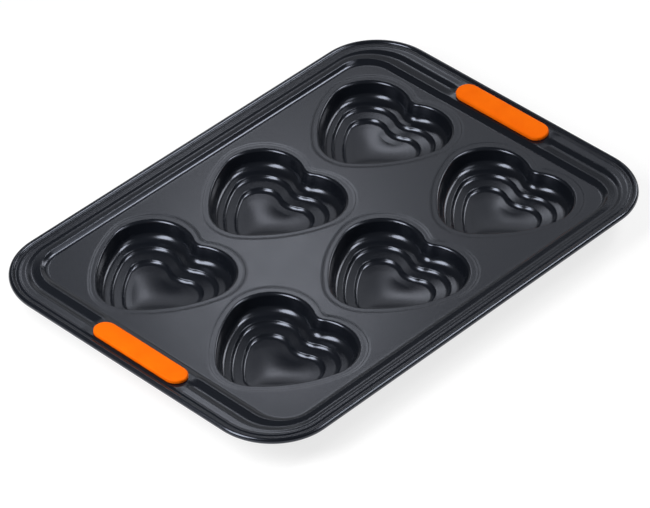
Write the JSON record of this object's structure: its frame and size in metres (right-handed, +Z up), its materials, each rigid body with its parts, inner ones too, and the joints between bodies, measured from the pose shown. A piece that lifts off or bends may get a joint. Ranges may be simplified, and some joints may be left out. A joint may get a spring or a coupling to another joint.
{
  "type": "heart muffin pan",
  "caption": "Rectangular non-stick steel bake pan with stepped heart-shaped cups hung in its sheet, a stepped rim with a rolled edge and silicone grips on the short sides.",
  "frame": {"origin": "middle of the pan, on the surface its cup floors stand on", "axes": "+X along the long side, towards the hearts' lobes; +Y across the pan; +Z up out of the cups"},
  "size_m": [0.3996, 0.2822, 0.029],
  "materials": {
    "coated_steel": "satin charcoal non-stick coating on pressed steel",
    "wire_steel": "drawn steel wire, hidden in the rolled edge",
    "silicone": "smooth orange silicone with softly rounded edges"
  },
  "bodies": {
    "root": {"tray_sheet": "coated_steel", "rim_wire": "wire_steel", "heart_cup_front_left": "coated_steel", "heart_cup_front_middle": "coated_steel", "heart_cup_front_right": "coated_steel", "heart_cup_rear_left": "coated_steel", "heart_cup_rear_middle": "coated_steel", "heart_cup_rear_right": "coated_steel", "grip_left": "silicone", "grip_right": "silicone"}
  },
  "joints": []
}
